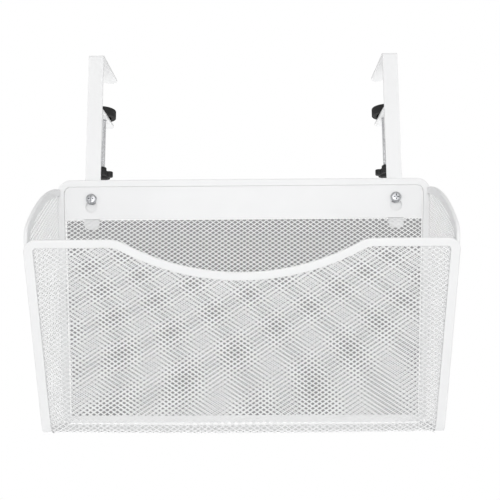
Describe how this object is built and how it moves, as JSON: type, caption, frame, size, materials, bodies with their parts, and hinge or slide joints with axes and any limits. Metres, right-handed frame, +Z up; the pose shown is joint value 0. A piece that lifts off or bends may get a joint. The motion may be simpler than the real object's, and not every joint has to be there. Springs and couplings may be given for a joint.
{
  "type": "hanging file rack",
  "caption": "White metal mesh pocket for files with a dipped front edge, hung from two flat hooks and clamped under a desk edge by hand screws.",
  "frame": {"origin": "the desk's upper front corner, midway between the two hangers: on the straps' rear faces and the hooks' undersides", "axes": "+Z up, -Y towards the user who stands in front of the pocket, +X to that user's right"},
  "size_m": [0.339, 0.1611, 0.3391],
  "materials": {
    "white_paint": "satin white powder coat",
    "zinc_steel": "bright zinc plating",
    "black_plastic": "moulded, matte",
    "black_rubber": "moulded, dull"
  },
  "bodies": {
    "rack": {"back_rim": "white_paint", "back_mesh": "white_paint", "band_plate": "white_paint", "front_rim": "white_paint", "front_mesh": "white_paint", "left_side_rim": "white_paint", "left_side_mesh": "white_paint", "right_side_rim": "white_paint", "right_side_mesh": "white_paint", "left_hanger_strap": "white_paint", "left_clamp_arm": "white_paint", "left_clamp_nut": "zinc_steel", "left_band_screw": "zinc_steel", "left_band_washer": "zinc_steel", "left_band_nut": "zinc_steel", "right_hanger_strap": "white_paint", "right_clamp_arm": "white_paint", "right_clamp_nut": "zinc_steel", "right_band_screw": "zinc_steel", "right_band_washer": "zinc_steel", "right_band_nut": "zinc_steel"},
    "left_pad": {"left_clamp_pad": "black_rubber", "left_thrust_washer": "zinc_steel"},
    "left_screw": {"left_clamp_screw": "zinc_steel", "left_clamp_knob": "black_plastic"},
    "right_pad": {"right_clamp_pad": "black_rubber", "right_thrust_washer": "zinc_steel"},
    "right_screw": {"right_clamp_screw": "zinc_steel", "right_clamp_knob": "black_plastic"}
  },
  "joints": [
    {"name": "left_pad_lift", "type": "slide", "parent": "rack", "child": "left_pad", "axis": [0, 0, 1], "range_m": [0, 0.03625]},
    {"name": "left_screw_turn", "type": "hinge", "parent": "left_pad", "child": "left_screw", "pos_m": [-0.13766, 0.028, -0.07], "axis": [0, 0, 1], "range_deg": [0, 10440]},
    {"name": "right_pad_lift", "type": "slide", "parent": "rack", "child": "right_pad", "axis": [0, 0, 1], "range_m": [0, 0.03625]},
    {"name": "right_screw_turn", "type": "hinge", "parent": "right_pad", "child": "right_screw", "pos_m": [0.13766, 0.028, -0.07], "axis": [0, 0, 1], "range_deg": [0, 10440]}
  ],
  "couplings": [
    {"joint": "left_screw_turn", "follows": "left_pad_lift", "rad_per_m": 5026.5},
    {"joint": "right_screw_turn", "follows": "right_pad_lift", "rad_per_m": 5026.5}
  ]
}
